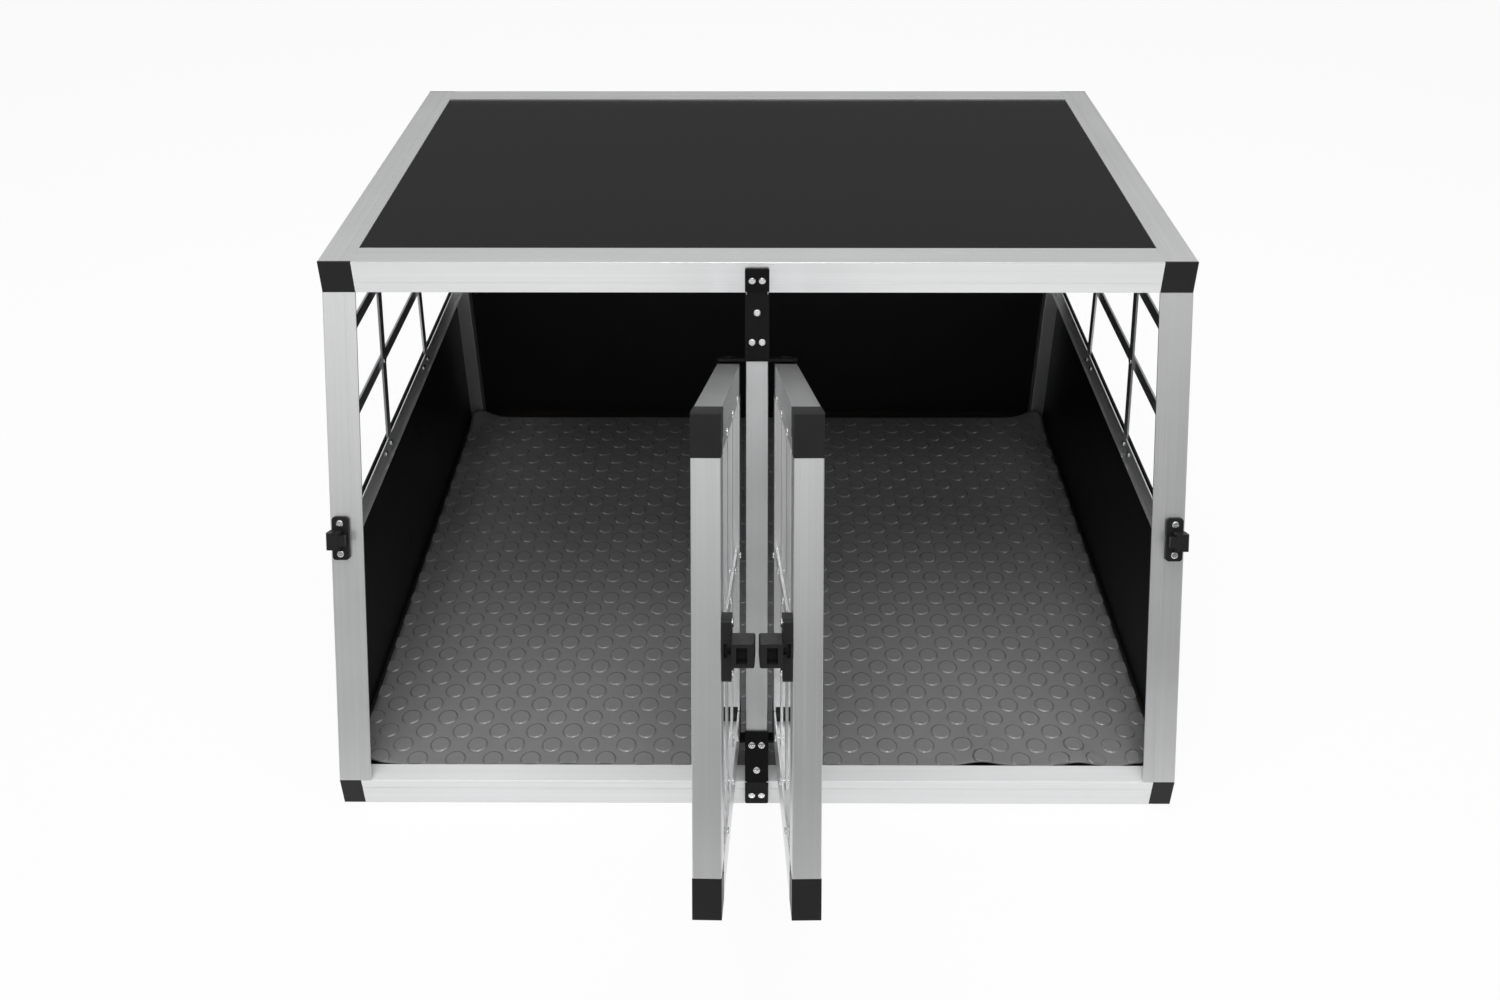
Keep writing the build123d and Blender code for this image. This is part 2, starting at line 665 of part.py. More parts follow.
def door_rivet_places():
    """Place, head, tail, collars and formed tail of every rivet of a door."""
    lip_middle = TUBE + LIP / 2
    collar = ((CROSS_IN, CROSS_OUT),)
    rivets = []
    for x in door_bar_x():
        for y in (DOOR_LOW + lip_middle, DOOR_TOP - lip_middle):
            rivets.append((Pos(x, y, 0), 0.0, DOOR_BAR_IN, collar, True))
        rivets.append((Pos(x, DOOR_MID, 0), CROSS_OUT, DOOR_BAR_IN, (), True))
    for x in (DOOR_NEAR + lip_middle, DOOR_FAR - lip_middle):
        rivets.append((Pos(x, DOOR_MID, 0), 0.0, CROSS_IN, (), True))
    for reach in (-LATCH_RIVET_REACH, LATCH_RIVET_REACH):
        place = Pos(DOOR_FAR - TUBE / 2, LATCH_HEIGHT + reach, 0)
        rivets.append((place, LATCH_BASE_THICK - FIT, -WALL, (), True))
    return rivets


def door_drills():
    deep = DOOR_BAR_IN - 1
    high = LATCH_BASE_THICK + 1
    return [drill_hole(place, deep, high, RIVET_RADIUS + FIT) for place, *_ in door_rivet_places()]


def door_stile(edge_x, inward):
    run = DOOR_TOP - DOOR_LOW - 2 * CORNER_LEG
    start = DOOR_LOW + CORNER_LEG if inward > 0 else DOOR_TOP - CORNER_LEG
    return extrusion(lip_section(False), (edge_x, start, 0), (inward, 0, 0), (0, 0, -1), run)


def door_rail(edge_y, inward):
    run = DOOR_FAR - DOOR_NEAR - 2 * CORNER_LEG
    start = DOOR_NEAR + CORNER_LEG if inward < 0 else DOOR_FAR - CORNER_LEG
    return extrusion(lip_section(False), (start, edge_y, 0), (0, inward, 0), (0, 0, -1), run)


def door_corner(x, y, right, up, bored):
    """Corner piece with two legs and two plugs; its outer corner lies at x, y."""
    proud = CORNER_PROUD
    depth = (-TUBE - proud, proud)
    leg = CORNER_LEG - FIT
    rail_leg = block((-proud, leg), (-proud, TUBE), depth)
    stile_leg = block((-proud, TUBE), (-proud, leg), depth)
    piece = rail_leg + stile_leg
    inner = piece.edges().filter_by(Axis.Z).filter_by_position(Axis.X, TUBE - 1, TUBE + 1)
    inner = inner.filter_by_position(Axis.Y, TUBE - 1, TUBE + 1)
    piece = fillet(inner, CORNER_INNER_ROUND)
    outer = piece.edges().filter_by(Axis.Z).filter_by_position(Axis.X, -proud - 1, 0)
    outer = outer.filter_by_position(Axis.Y, -proud - 1, 0)
    piece = fillet(outer, CORNER_EDGE_ROUND)
    reach = (TUBE - 2 * WALL) / 2 - FIT
    middle = (TUBE / 2 - reach, TUBE / 2 + reach)
    inside = (-TUBE / 2 - reach, -TUBE / 2 + reach)
    piece = piece + block((leg - 1, leg + CORNER_PLUG), middle, inside)
    piece = piece + block(middle, (leg - 1, leg + CORNER_PLUG), inside)
    if bored:
        axis = Plane(origin=(TUBE / 2, -proud, -TUBE / 2), x_dir=(1, 0, 0), z_dir=(0, 1, 0))
        depth_of_bore = PIN_REACH + PIN_BORE_EXTRA
        piece = piece - drill_hole(axis.location, -1, depth_of_bore, PIN_RADIUS + PIN_RUN_CLEARANCE)
    if right < 0:
        piece = mirror(piece, about=Plane.YZ)
    if up < 0:
        piece = mirror(piece, about=Plane.XZ)
    return Pos(x, y, 0) * piece


def door_corners():
    return group(
        [
            door_corner(DOOR_NEAR, DOOR_LOW, 1, 1, True),
            door_corner(DOOR_NEAR, DOOR_TOP, 1, -1, True),
            door_corner(DOOR_FAR, DOOR_LOW, -1, 1, False),
            door_corner(DOOR_FAR, DOOR_TOP, -1, -1, False),
        ]
    )


def door_uprights(drills):
    height = (DOOR_LOW + TUBE + FIT, DOOR_TOP - TUBE - FIT)
    half = BAR_WIDTH / 2
    bars = [block((x - half, x + half), height, (DOOR_BAR_IN, DOOR_BAR_OUT)) for x in door_bar_x()]
    return group([drill(bar, drills) for bar in bars])


def door_cross_bar():
    half = BAR_WIDTH / 2
    across = (DOOR_NEAR + TUBE + FIT, DOOR_FAR - TUBE - FIT)
    return block(across, (DOOR_MID - half, DOOR_MID + half), (CROSS_IN, CROSS_OUT))


def latch_base():
    """Plate on the latch stile with a T-slot across it for the slider."""
    half = LATCH_BASE_LENGTH / 2
    across = (DOOR_FAR - TUBE + LATCH_BASE_INSET, DOOR_FAR - LATCH_BASE_INSET)
    along = (LATCH_HEIGHT - half, LATCH_HEIGHT + half)
    base = block(across, along, (FIT, LATCH_BASE_THICK - FIT))
    base = fillet(base.edges().filter_by(Axis.Z), LATCH_BASE_ROUND)
    long = (DOOR_FAR - 2 * TUBE, DOOR_FAR + TUBE)
    neck = (LATCH_HEIGHT - SLOT_NECK / 2, LATCH_HEIGHT + SLOT_NECK / 2)
    head = (LATCH_HEIGHT - SLOT_HEAD / 2, LATCH_HEIGHT + SLOT_HEAD / 2)
    base = base - block(long, neck, (SLOT_FLOOR, LATCH_BASE_THICK + 1))
    return base - block(long, head, (SLOT_FLOOR, SLOT_FLOOR + SLOT_HEAD_DEPTH))


def latch_slider():
    """Block over the latch base, with a T-foot in the slot and a window for the nose."""
    tip = DOOR_FAR + SLIDER_OVERHANG
    heel = tip - SLIDER_LENGTH
    half = SLIDER_HEIGHT / 2
    bottom = LATCH_BASE_THICK - FIT + SLIDER_GAP
    body = block((heel, tip), (LATCH_HEIGHT - half, LATCH_HEIGHT + half), (bottom, SLIDER_TOP))
    body = fillet(body.faces().sort_by(Axis.Z)[-1].edges(), SLIDER_ROUND)
    window_half = WINDOW_HEIGHT / 2
    window_along = (LATCH_HEIGHT - window_half, LATCH_HEIGHT + window_half)
    body = body - block((tip - WINDOW_DEPTH, tip + 1), window_along, (WINDOW_LOW, WINDOW_TOP))
    shank = (heel, heel + SLIDER_SHANK)
    neck = SLOT_NECK / 2 - SLIDER_GAP
    foot = SLOT_HEAD / 2 - SLIDER_GAP
    foot_z = (SLOT_FLOOR + SLIDER_GAP, SLOT_FLOOR + SLOT_HEAD_DEPTH - SLIDER_GAP)
    body = body + block(shank, (LATCH_HEIGHT - neck, LATCH_HEIGHT + neck), (foot_z[0], bottom + 1))
    return body + block(shank, (LATCH_HEIGHT - foot, LATCH_HEIGHT + foot), foot_z)


def door_nodes():
    """All pieces of a door with the names they share on both doors."""
    drills = door_drills()
    return {
        "door_top_rail": drill(door_rail(DOOR_TOP, -1), drills),
        "door_bottom_rail": drill(door_rail(DOOR_LOW, 1), drills),
        "door_hinge_stile": drill(door_stile(DOOR_NEAR, 1), drills),
        "door_latch_stile": drill(door_stile(DOOR_FAR, -1), drills),
        "door_corners": door_corners(),
        "door_uprights": door_uprights(drills),
        "door_cross_bar": drill(door_cross_bar(), drills),
        "door_rivets": group([rivet(*values) for values in door_rivet_places()]),
        "latch_base": drill(latch_base(), drills),
        "latch_slider": latch_slider(),
    }


def side_nodes():
    """Right-hand pieces of the frame and the side wall that have a left-hand twin."""
    drills = side_drills()
    keeper_drills = [screw_drill(place) for place in keeper_places()]
    bars = [(z - BAR_WIDTH / 2, z + BAR_WIDTH / 2) for z in (UPPER_BAR_Z, LOWER_BAR_Z)]
    return {
        "top_rail": drill(top_side_rail(), drills),
        "bottom_rail": bottom_side_rail(),
        "front_post": drill(front_post(), drills + keeper_drills),
        "back_post": drill(back_post(), drills),
        "side_panel": drill(side_sheet((PANEL_IN, PANEL_OUT), (FLOOR_Z, SIDE_PANEL_TOP)), drills),
        "panel_trim": drill(panel_trim(), drills),
        "side_bars": group([drill(side_sheet((BAR_IN, PANEL_OUT), bar), drills) for bar in bars]),
        "rear_upright": drill(side_upright(0), drills),
        "front_upright": drill(side_upright(1), drills),
        "side_rivets": group([rivet(*values) for values in side_rivet_places()]),
        "keeper": keeper(),
    }


def middle_nodes():
    """Pieces that lie across the middle of the crate."""
    upper, lower = bracket_places()
    bracket_drills = [screw_drill(place) for place in upper + lower]
    return {
        "top_rail_front": drill(top_cross_rail(ROOF_FRONT_Y, 1), bracket_drills),
        "top_rail_back": top_cross_rail(BACK_Y, -1),
        "door_sill": drill(door_sill(), bracket_drills),
        "bottom_rail_back": bottom_back_rail(),
        "centre_post": drill(centre_post(), bracket_drills),
        "floor_bearer": floor_bearer(),
        "top_end_caps": top_end_caps(),
        "bottom_end_caps": bottom_end_caps(),
        "roof_panel": roof_panel(),
        "back_panel": back_panel(),
        "floor_panel": floor_panel(),
        "floor_mat": floor_mat(),
        "upper_hinge_bracket": upper_hinge_bracket(),
        "lower_hinge_bracket": lower_hinge_bracket(),
        "hinge_pins": hinge_pins(),
        "frame_screws": frame_screws(),
    }


def crate_nodes():
    nodes = middle_nodes()
    for name, piece in side_nodes().items():
        nodes[name + "_right"] = piece
        nodes[name + "_left"] = left(piece)
    for name, piece in door_nodes().items():
        hung = DOOR_OPEN * piece
        nodes["right_" + name] = hung
        nodes["left_" + name] = left(hung)
    return nodes


os.makedirs("parts", exist_ok=True)
for node_name, node in crate_nodes().items():
    export_step(node, f"parts/{node_name}.step")
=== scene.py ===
"""Studio picture of an aluminium dog transport box with two open grille doors."""

import json
import logging
import math
from dataclasses import dataclass
from enum import Enum
from typing import Any, Dict, Optional, Sequence, Tuple, Union

import bpy
import numpy as np
from mathutils import Matrix, Vector

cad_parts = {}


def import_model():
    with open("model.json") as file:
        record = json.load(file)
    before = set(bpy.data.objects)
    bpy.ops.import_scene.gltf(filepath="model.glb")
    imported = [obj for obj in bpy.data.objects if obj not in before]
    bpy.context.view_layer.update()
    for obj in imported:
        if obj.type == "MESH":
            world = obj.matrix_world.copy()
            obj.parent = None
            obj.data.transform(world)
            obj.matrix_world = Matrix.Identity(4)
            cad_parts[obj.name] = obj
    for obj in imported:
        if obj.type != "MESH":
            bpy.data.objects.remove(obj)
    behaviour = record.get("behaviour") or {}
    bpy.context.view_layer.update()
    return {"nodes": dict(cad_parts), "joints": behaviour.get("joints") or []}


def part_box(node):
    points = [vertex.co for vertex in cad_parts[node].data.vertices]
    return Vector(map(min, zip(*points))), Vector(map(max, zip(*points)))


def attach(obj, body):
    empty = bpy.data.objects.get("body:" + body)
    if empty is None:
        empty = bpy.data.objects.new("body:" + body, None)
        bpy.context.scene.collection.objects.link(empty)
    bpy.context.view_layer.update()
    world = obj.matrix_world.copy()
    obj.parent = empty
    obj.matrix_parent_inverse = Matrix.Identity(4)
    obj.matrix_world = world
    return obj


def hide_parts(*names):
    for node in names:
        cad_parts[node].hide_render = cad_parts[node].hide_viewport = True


LOG = logging.getLogger("dog_box")

Colour = Tuple[float, float, float]
Direction = Tuple[float, float, float]
Place = Tuple[float, float, float]

ACROSS: Direction = (1.0, 0.0, 0.0)
DEPTH: Direction = (0.0, 1.0, 0.0)
UPRIGHT: Direction = (0.0, 0.0, 1.0)
WHITE: Tuple[float, float, float, float] = (1.0, 1.0, 1.0, 1.0)


class Wire:
    """Output of a shader node that can be used in arithmetic."""

    def __init__(self, graph: "Graph", socket: bpy.types.NodeSocket) -> None:
        """Keep the socket and the graph that it belongs to.

        Args:
            graph: The graph that new nodes are added to.
            socket: The output socket.
        """
        self.graph = graph
        self.socket = socket

    def _math(self, operation: str, first: "Term", second: "Term") -> "Wire":
        """Add one Math node.

        Args:
            operation: Blender's name of the operation.
            first: The upper input.
            second: The lower input.

        Returns:
            The node's result.
        """
        return self.graph.node("ShaderNodeMath", {"operation": operation}, {0: first, 1: second})

    def __add__(self, other: "Term") -> "Wire":
        """Sum of two values."""
        return self._math("ADD", self, other)

    def __radd__(self, other: "Term") -> "Wire":
        """Sum of two values, a number first."""
        return self._math("ADD", other, self)

    def __sub__(self, other: "Term") -> "Wire":
        """Difference of two values."""
        return self._math("SUBTRACT", self, other)

    def __rsub__(self, other: "Term") -> "Wire":
        """Difference of two values, a number first."""
        return self._math("SUBTRACT", other, self)

    def __mul__(self, other: "Term") -> "Wire":
        """Product of two values."""
        return self._math("MULTIPLY", self, other)

    def __rmul__(self, other: "Term") -> "Wire":
        """Product of two values, a number first."""
        return self._math("MULTIPLY", other, self)

    def highest(self, other: "Term") -> "Wire":
        """The larger of two values."""
        return self._math("MAXIMUM", self, other)

    def between(self, low: float, high: float) -> "Wire":
        """Smooth step from 0 at low to 1 at high.

        Args:
            low: Value that gives 0.
            high: Value that gives 1.

        Returns:
            The stepped value.
        """
        settings = {"interpolation_type": "SMOOTHSTEP"}
        inputs = {"Value": self, "From Min": low, "From Max": high, "To Min": 0.0, "To Max": 1.0}
        return self.graph.node("ShaderNodeMapRange", settings, inputs)

    def sine(self) -> "Wire":
        """Sine of a value in radians."""
        return self.graph.node("ShaderNodeMath", {"operation": "SINE"}, {0: self})


Term = Union[Wire, float]


class Graph:
    """Node tree of one material or world, built from expressions."""

    def __init__(self, tree: bpy.types.NodeTree) -> None:
        """Empty the tree.

        Args:
            tree: The node tree to fill.
        """
        self.tree = tree
        tree.nodes.clear()

    def node(
        self,
        kind: str,
        settings: Optional[Dict[str, Any]] = None,
        inputs: Optional[Dict[Union[int, str], Any]] = None,
        output: Union[int, str] = 0,
    ) -> Wire:
        """Add a node, set it up and feed its sockets.

        Args:
            kind: Blender's node type.
            settings: Properties of the node, set before its sockets.
            inputs: Values or wires by socket name or number.
            output: Name or number of the output that is returned.

        Returns:
            The chosen output.
        """
        made = self.tree.nodes.new(kind)
        for name, value in (settings or {}).items():
            setattr(made, name, value)
        for key, value in (inputs or {}).items():
            self.feed(made.inputs[key], value)
        return Wire(self, made.outputs[output]) if len(made.outputs) else Wire(self, None)

    def feed(self, socket: bpy.types.NodeSocket, value: Any) -> None:
        """Link a wire to a socket, or set the socket's own value.

        Args:
            socket: The input socket.
            value: A wire, a number or a tuple.
        """
        if isinstance(value, Wire):
            self.tree.links.new(value.socket, socket)
        else:
            socket.default_value = value

    def place(self) -> Wire:
        """Point on the surface in object coordinates."""
        return self.node("ShaderNodeTexCoord", output="Object")

    def along(self, point: Wire, direction: Direction) -> Wire:
        """Distance of a point along a direction.

        Args:
            point: A vector.
            direction: A unit vector.

        Returns:
            The dot product of the two.
        """
        settings = {"operation": "DOT_PRODUCT"}
        return self.node("ShaderNodeVectorMath", settings, {0: point, 1: direction}, "Value")

    def vector(self, x: Term, y: Term, z: Term) -> Wire:
        """Vector of three values."""
        return self.node("ShaderNodeCombineXYZ", inputs={0: x, 1: y, 2: z})

    def noise(self, point: Wire, scale: float, detail: float = 2.0, rough: float = 0.5) -> Wire:
        """Fractal noise around one half.

        Args:
            point: The place to read.
            scale: Waves in one unit of length.
            detail: Number of finer layers.
            rough: Strength of the finer layers.

        Returns:
            A value from 0 to 1.
        """
        inputs = {"Vector": point, "Scale": scale, "Detail": detail, "Roughness": rough}
        return self.node("ShaderNodeTexNoise", inputs=inputs)

    def blend(self, factor: Term, first: Union[Wire, Colour], second: Colour) -> Wire:
        """Colour between two colours.

        Args:
            factor: 0 for the first colour and 1 for the second.
            first: Linear colour, or a wire that carries one.
            second: Linear colour.

        Returns:
            The mixed colour.
        """
        start = first if isinstance(first, Wire) else (*first, 1.0)
        inputs = {0: factor, 6: start, 7: (*second, 1.0)}
        return self.node("ShaderNodeMix", {"data_type": "RGBA"}, inputs, 2)

    def bump(self, height: Wire, strength: float, distance: float) -> Wire:
        """Normal that follows a height.

        Args:
            height: Height from 0 to 1.
            strength: Share of the effect.
            distance: Height in metres that 1 stands for.

        Returns:
            The bent normal.
        """
        inputs = {"Height": height, "Strength": strength, "Distance": distance}
        return self.node("ShaderNodeBump", inputs=inputs)

    def ray(self, kind: str) -> Wire:
        """1 for rays of a kind, such as Camera or Glossy, else 0."""
        return self.node("ShaderNodeLightPath", output=f"Is {kind} Ray")

    def watched(self) -> Wire:
        """1 for rays of the eye, of reflections and through glass, else 0."""
        return self.ray("Camera").highest(self.ray("Glossy")).highest(self.ray("Transmission"))

    def surface(self, values: Dict[str, Any]) -> None:
        """Finish the tree with a principled surface.

        Args:
            values: Values or wires by socket name.
        """
        shader = self.node("ShaderNodeBsdfPrincipled", inputs=values)
        self.node("ShaderNodeOutputMaterial", inputs={"Surface": shader})


@dataclass(frozen=True)
class Finish:
    """Common part of every finish: a colour and a gloss."""

    tone: Colour
    roughness: float

    def paint(self, graph: Graph) -> None:
        """Fill a graph with this finish; each finish has its own way."""
        raise NotImplementedError

    def shade(self, share: float) -> Colour:
        """The finish's own colour made darker or lighter.

        Args:
            share: Factor below 1 for darker and above 1 for lighter.

        Returns:
            The changed colour, at most white.
        """
        red, green, blue = (min(1.0, share * value) for value in self.tone)
        return red, green, blue


@dataclass(frozen=True)
class DrawnAluminium(Finish):
    """Satin anodised extrusion with fine die lines along its length."""

    tone: Colour = (0.87, 0.875, 0.88)
    roughness: float = 0.30
    metal: float = 0.85
    grain: Direction = ACROSS
    line_width: float = 0.0009
    line_length: float = 0.45
    band_share: float = 0.12
    cloud_scale: float = 9.0
    scuff_scale: float = 70.0
    scuff_from: float = 0.60
    scuff_full: float = 0.74
    dark_share: float = 0.84
    light_share: float = 1.13
    groove_strength: float = 0.22
    groove_depth: float = 0.00006

    def paint(self, graph: Graph) -> None:
        """Die lines and bands are noise stretched along the grain.

        Clouds and scuffs are noise of two sizes that varies tone and gloss.

        Args:
            graph: The graph to fill.
        """
        run = Vector(self.grain).normalized()
        side = run.orthogonal().normalized()
        other = run.cross(side)
        point = graph.place()
        lengthwise = graph.along(point, tuple(run)) * (1.0 / self.line_length)
        across = graph.along(point, tuple(side)) * (1.0 / self.line_width)
        through = graph.along(point, tuple(other)) * (1.0 / self.line_width)
        lines = graph.noise(graph.vector(lengthwise, across, through), 1.0, 3.0, 0.6)
        wide = graph.vector(lengthwise, across * self.band_share, through * self.band_share)
        bands = graph.noise(wide, 1.0, 1.0)
        clouds = graph.noise(point, self.cloud_scale, 3.0)
        rubbed = graph.noise(point, self.scuff_scale, 5.0, 0.7)
        scuffs = rubbed.between(self.scuff_from, self.scuff_full)
        mark = lines * 0.5 + bands * 0.3 + clouds * 0.2
        relief = lines * 0.7 + bands * 0.3
        dark, light = self.shade(self.dark_share), self.shade(self.light_share)
        graph.surface(
            {
                "Base Color": graph.blend(mark, dark, light),
                "Metallic": self.metal,
                "Roughness": self.roughness - 0.10 + lines * 0.14 + clouds * 0.08 + scuffs * 0.05,
                "Normal": graph.bump(relief, self.groove_strength, self.groove_depth),
            }
        )


@dataclass(frozen=True)
class BlackLaminate(Finish):
    """Satin black panel face with a fine even grain."""

    tone: Colour = (0.0070, 0.0070, 0.0073)
    roughness: float = 0.42
    reflection: float = 0.14
    grain_scale: float = 1100.0
    cloud_scale: float = 5.0
    wipe_scale: float = 22.0
    wipe_from: float = 0.52
    wipe_full: float = 0.72
    dust_share: float = 1.7
    grain_strength: float = 0.16
    grain_depth: float = 0.00012

    def paint(self, graph: Graph) -> None:
        """Fine noise is the grain; wide noise is wiped dust and handling gloss.

        Args:
            graph: The graph to fill.
        """
        point = graph.place()
        grain = graph.noise(point, self.grain_scale, 2.0)
        clouds = graph.noise(point, self.cloud_scale, 4.0, 0.6)
        wiped = graph.noise(point, self.wipe_scale, 6.0, 0.65).between(self.wipe_from, self.wipe_full)
        dusty = self.shade(self.dust_share)
        graph.surface(
            {
                "Base Color": graph.blend(clouds * 0.6 + wiped * 0.3, self.tone, dusty),
                "Roughness": self.roughness - 0.05 + clouds * 0.10 + wiped * 0.05,
                "Specular IOR Level": self.reflection,
                "Normal": graph.bump(grain, self.grain_strength, self.grain_depth),
            }
        )


@dataclass(frozen=True)
class MouldedPlastic(Finish):
    """Black moulded fitting with a spark-eroded texture."""

    tone: Colour = (0.0105, 0.0105, 0.0110)
    roughness: float = 0.40
    reflection: float = 0.22
    speck_scale: float = 900.0
    fine_scale: float = 1440.0
    cloud_scale: float = 45.0
    wear_share: float = 1.8
    speck_strength: float = 0.25
    speck_depth: float = 0.00016

    def paint(self, graph: Graph) -> None:
        """Cell noise is the mould texture; clouds are flow marks and handling.

        Args:
            graph: The graph to fill.
        """
        point = graph.place()
        inputs = {"Vector": point, "Scale": self.speck_scale}
        cells = graph.node("ShaderNodeTexVoronoi", inputs=inputs, output="Distance")
        fine = graph.noise(point, self.fine_scale, 2.0)
        clouds = graph.noise(point, self.cloud_scale, 3.0)
        worn = self.shade(self.wear_share)
        relief = cells * 0.7 + fine * 0.3
        graph.surface(
            {
                "Base Color": graph.blend(clouds * 0.5 + fine * 0.3, self.tone, worn),
                "Roughness": self.roughness - 0.06 + clouds * 0.10 + fine * 0.05,
                "Specular IOR Level": self.reflection,
                "Normal": graph.bump(relief, self.speck_strength, self.speck_depth),
            }
        )


@dataclass(frozen=True)
class PowderCoat(Finish):
    """Black powder-coated sheet steel with a slight orange peel."""

    tone: Colour = (0.0045, 0.0045, 0.0048)
    roughness: float = 0.36
    reflection: float = 0.11
    peel_scale: float = 420.0
    grain_scale: float = 1680.0
    cloud_scale: float = 30.0
    chalk_share: float = 2.0
    peel_strength: float = 0.30
    peel_depth: float = 0.00020

    def paint(self, graph: Graph) -> None:
        """Soft noise is the peel; fine noise is the powder's grain.

        Args:
            graph: The graph to fill.
        """
        point = graph.place()
        peel = graph.noise(point, self.peel_scale, 1.0)
        grain = graph.noise(point, self.grain_scale, 2.0)
        clouds = graph.noise(point, self.cloud_scale, 3.0)
        chalky = self.shade(self.chalk_share)
        relief = peel * 0.75 + grain * 0.25
        graph.surface(
            {
                "Base Color": graph.blend(clouds * 0.5 + grain * 0.2, self.tone, chalky),
                "Roughness": self.roughness - 0.05 + clouds * 0.10 + grain * 0.06,
                "Specular IOR Level": self.reflection,
                "Normal": graph.bump(relief, self.peel_strength, self.peel_depth),
            }
        )


@dataclass(frozen=True)
class ZincSteel(Finish):
    """Bright zinc-plated fastener."""

    tone: Colour = (0.92, 0.925, 0.935)
    roughness: float = 0.20
    mottle_scale: float = 520.0
    pit_scale: float = 1900.0
    dull_share: float = 0.72
    pit_strength: float = 0.15
    pit_depth: float = 0.00008

    def paint(self, graph: Graph) -> None:
        """Noise gives the plating's mottled tone and gloss, and finer noise its pits.

        Args:
            graph: The graph to fill.
        """
        point = graph.place()
        mottle = graph.noise(point, self.mottle_scale, 3.0)
        pits = graph.noise(point, self.pit_scale, 2.0)
        relief = pits * 0.5 + mottle * 0.5
        graph.surface(
            {
                "Base Color": graph.blend(mottle, self.shade(self.dull_share), self.tone),
                "Metallic": 1.0,
                "Roughness": self.roughness - 0.06 + mottle * 0.16,
                "Normal": graph.bump(relief, self.pit_strength, self.pit_depth),
            }
        )


@dataclass(frozen=True)
class FilmFacedBoard(Finish):
    """Black film-faced floor board with a wire-pressed underside."""

    tone: Colour = (0.012, 0.011, 0.010)
    roughness: float = 0.5
    brown: Colour = (0.030, 0.024, 0.019)
    cloud_scale: float = 8.0
    press_pitch: float = 0.006
    press_strength: float = 0.35
    press_depth: float = 0.0003

    def paint(self, graph: Graph) -> None:
        """Two crossed sine waves press the mesh; noise varies the film.

        Args:
            graph: The graph to fill.
        """
        point = graph.place()
        turns = 2.0 * math.pi / self.press_pitch
        over = (graph.along(point, ACROSS) * turns).sine()
        under = (graph.along(point, DEPTH) * turns).sine()
        pressed = over.highest(under) * 0.5 + 0.5
        clouds = graph.noise(point, self.cloud_scale, 4.0)
        graph.surface(
            {
                "Base Color": graph.blend(clouds * 0.6, self.tone, self.brown),
                "Roughness": self.roughness - 0.06 + clouds * 0.14,
                "Normal": graph.bump(pressed, self.press_strength, self.press_depth),
            }
        )


@dataclass(frozen=True)
class StuddedRubber(Finish):
    """Dark grey rubber, polished on the stud rims, with painted shade at the stud feet and a painted
    highlight on the rims.
    """

    tone: Colour = (0.152, 0.152, 0.154)
    # Lighter colour for real wear and for the painted highlight on the stud rims.
    worn: Colour = (0.262, 0.262, 0.264)
    # Colour of the painted shade at the stud feet.
    painted_shade_colour: Colour = (0.030, 0.030, 0.031)
    roughness: float = 0.50
    rim_name: str = "rim"
    rim_roughness: float = 0.16
    rim_index: float = 1.9
    grain_scale: float = 1500.0
    bloom_scale: float = 6.0
    dust_scale: float = 160.0
    dust_from: float = 0.50
    dust_full: float = 0.75
    # Strength of the painted shade at the stud feet.
    painted_shade_strength: float = 0.40
    grain_strength: float = 0.20
    grain_depth: float = 0.00015

    def paint(self, graph: Graph) -> None:
        """The rim attribute polishes edges above 0 and lightens their colour a little as a painted
        highlight; below 0 it darkens the feet as painted shade.

        Noise of three sizes is bloom, dust and grain.

        Args:
            graph: The graph to fill.
        """
        point = graph.place()
        grain = graph.noise(point, self.grain_scale, 3.0, 0.6)
        bloom = graph.noise(point, self.bloom_scale, 4.0, 0.6)
        dust = graph.noise(point, self.dust_scale, 5.0, 0.7).between(self.dust_from, self.dust_full)
        mark = graph.node("ShaderNodeAttribute", {"attribute_name": self.rim_name}, output="Fac")
        rim = mark.highest(0.0)
        # Painted shade: a dark ring at each stud's foot, where shade falls.
        painted_foot_shade = (mark * -self.painted_shade_strength).highest(0.0)
        # The rim term lightens the colour of the polished rims as a painted highlight; bloom, dust and
        # grain are real wear.
        wear_and_rim_highlight = bloom * 0.35 + dust * 0.15 + grain * 0.12 + rim * 0.12
        graph.surface(
            {
                "Base Color": graph.blend(painted_foot_shade, graph.blend(wear_and_rim_highlight, self.tone, self.worn), self.painted_shade_colour),
                "Roughness": self.roughness + 0.08 * bloom + 0.06 * dust - 0.34 * rim,
                "Coat Weight": rim,
                "Coat Roughness": self.rim_roughness,
                "Coat IOR": self.rim_index,
                "Normal": graph.bump(grain, self.grain_strength, self.grain_depth),
            }
        )


class FinishShop:
    """Makes each finish once and puts it on the pieces."""

    def __init__(self, nodes: Dict[str, bpy.types.Object]) -> None:
        """Remember the solids of the box.

        Args:
            nodes: The solids by name.
        """
        self.nodes = nodes
        self.made: Dict[Finish, bpy.types.Material] = {}

    def material(self, finish: Finish) -> bpy.types.Material:
        """Material of a finish, made on first use.

        Args:
            finish: The finish.

        Returns:
            The material.
        """
        if finish not in self.made:
            name = f"{type(finish).__name__}_{len(self.made):02d}"
            material = bpy.data.materials.new(name)
            material.use_nodes = True
            finish.paint(Graph(material.node_tree))
            self.made[finish] = material
        return self.made[finish]

    def dress(self, finish: Finish, names: Sequence[str]) -> None:
        """Put a finish on solids of the box.

        Args:
            finish: The finish.
            names: Names of the solids.
        """
        for name in names:
            piece = self.nodes[name]
            if not piece.material_slots:
                piece.data.materials.append(None)
            for slot in piece.material_slots:
                slot.material = self.material(finish)
            LOG.info("%s: %s", name, type(finish).__name__)


class Side(Enum):
    """Hand of a piece, seen from the doors."""

    LEFT = "left"
    RIGHT = "right"


